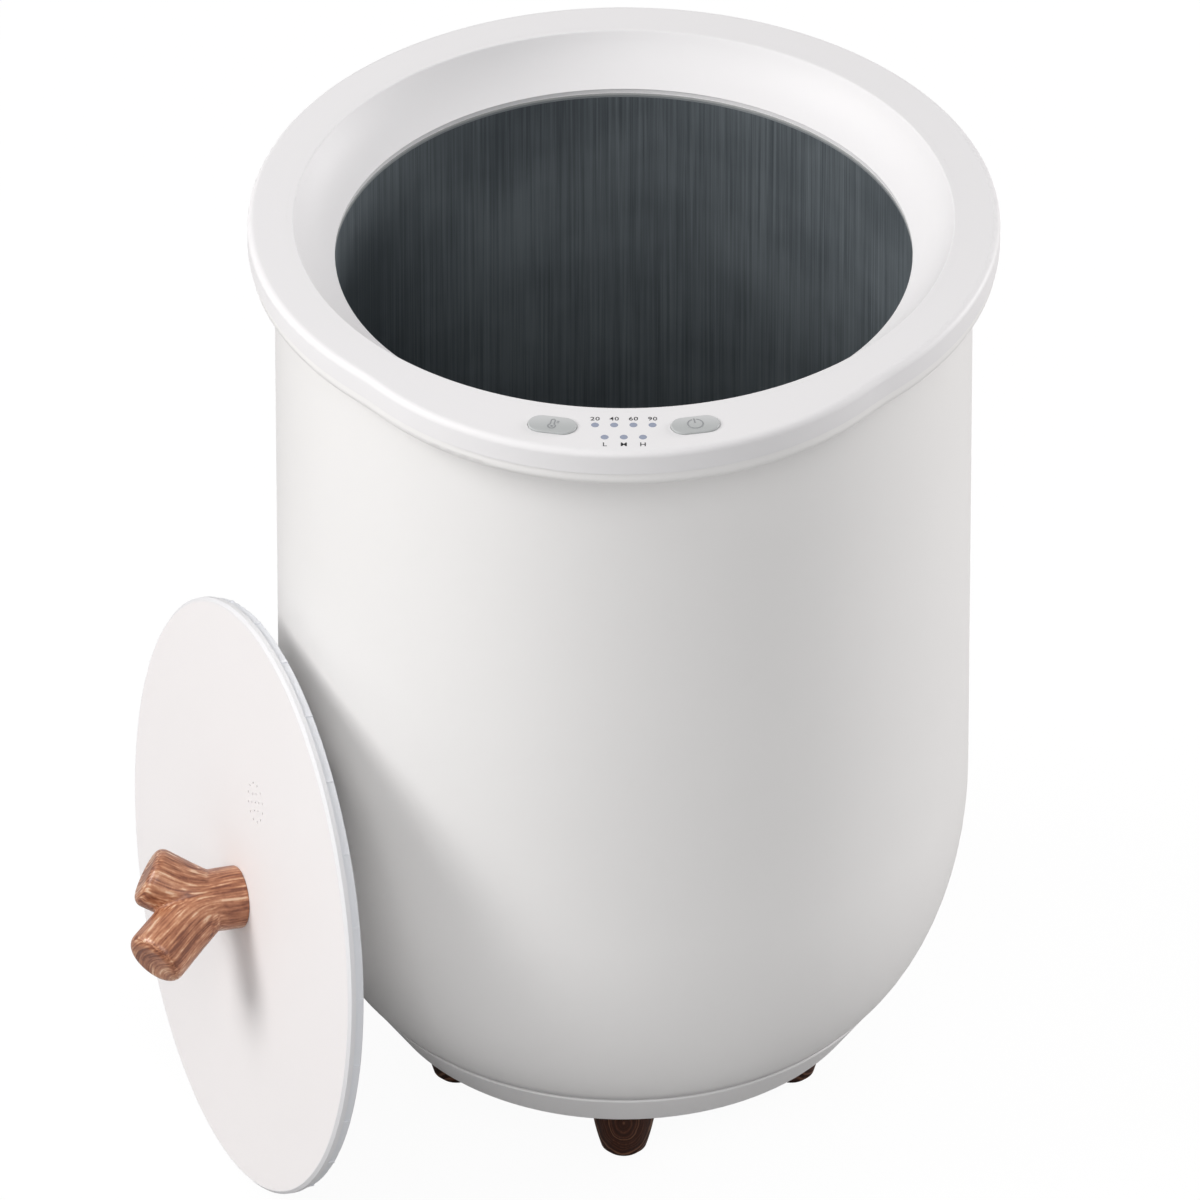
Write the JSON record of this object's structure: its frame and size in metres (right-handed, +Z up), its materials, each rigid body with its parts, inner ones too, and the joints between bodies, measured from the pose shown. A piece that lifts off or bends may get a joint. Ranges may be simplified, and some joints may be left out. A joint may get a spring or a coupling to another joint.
{
  "type": "towel warmer bucket",
  "caption": "Round white towel warmer bucket on turned wooden feet, with a dark metal pot, a collar with a control panel, and a loose lid with a forked wooden handle leaning beside it.",
  "frame": {"origin": "on the floor, at the bucket's upright axis", "axes": "+Z up, -Y towards the control panel, +X to the right of someone who faces the panel"},
  "size_m": [0.3839, 0.3617, 0.4505],
  "materials": {
    "white_plastic": "satin white moulded plastic",
    "white_collar": "satin white moulded plastic",
    "lid_white": "satin white moulded plastic",
    "pot_metal": "dark blue-grey anodised sheet, brushed upwards",
    "dark_wood": "dark stained turned wood, satin lacquer",
    "branch_wood": "brown branch wood, satin lacquer",
    "button_grey": "fine matt grey-green plastic",
    "light_window": "cloudy clear plastic",
    "steel": "zinc-plated steel",
    "plate_steel": "plain galvanised sheet",
    "seal_rubber": "soft grey silicone",
    "bush_rubber": "light grey moulded rubber",
    "board_green": "circuit board with solder mask",
    "switch_black": "black moulded plastic",
    "film_brown": "amber heating film",
    "felt_grey": "pale needled felt",
    "cable_grey": "flat grey cable",
    "sensor_metal": "plain pressed metal"
  },
  "bodies": {
    "bucket": {"base_cover": "white_plastic", "base_screws": "steel", "foot_bolts": "steel", "cord_bush": "bush_rubber", "power_board": "board_green", "power_board_screws": "steel", "outer_shell": "white_plastic", "support_plate": "plate_steel", "felt_disc": "felt_grey", "collar_top": "white_collar", "collar_under_ring": "white_plastic", "collar_screws": "steel", "pot_floor": "pot_metal", "pot_wall": "pot_metal", "pot_rim": "pot_metal", "flare_ring": "white_collar", "mounting_ring": "white_plastic", "pot_gasket": "seal_rubber", "pot_spacers": "steel", "pot_screws": "steel", "heater_film": "film_brown", "film_straps": "steel", "felt_sleeve": "felt_grey", "thermostat": "sensor_metal", "thermal_fuse": "sensor_metal", "sensor_bracket": "plate_steel", "control_board": "board_green", "board_screws": "steel", "light_pipes": "light_window", "press_switches": "switch_black", "ribbon_cable": "cable_grey", "foot_1": "dark_wood", "foot_2": "dark_wood", "foot_3": "dark_wood", "foot_4": "dark_wood", "foot_5": "dark_wood"},
    "temperature_press": {"temperature_button": "button_grey", "temperature_plunger": "switch_black"},
    "power_press": {"power_button": "button_grey", "power_plunger": "switch_black"},
    "lid": {"lid_plate": "lid_white", "lid_rib_ring": "lid_white", "lid_liner": "lid_white", "lid_hub_spacer": "lid_white", "lid_seal": "seal_rubber", "lid_handle": "branch_wood", "handle_bolt": "steel", "handle_washer": "steel"}
  },
  "joints": [
    {"name": "temperature_button_press", "type": "slide", "parent": "bucket", "child": "temperature_press", "axis": [0, 0, -1], "range_m": [0, 0.0005], "stiffness_N_per_m": 600, "springref_m": -0.0005},
    {"name": "power_button_press", "type": "slide", "parent": "bucket", "child": "power_press", "axis": [0, 0, -1], "range_m": [0, 0.0005], "stiffness_N_per_m": 600, "springref_m": -0.0005},
    {"name": "lid_pull_away", "type": "slide", "parent": "bucket", "child": "lid", "axis": [-0.9291, -0.3585, 0.0906], "range_m": [0, 0.3]}
  ]
}
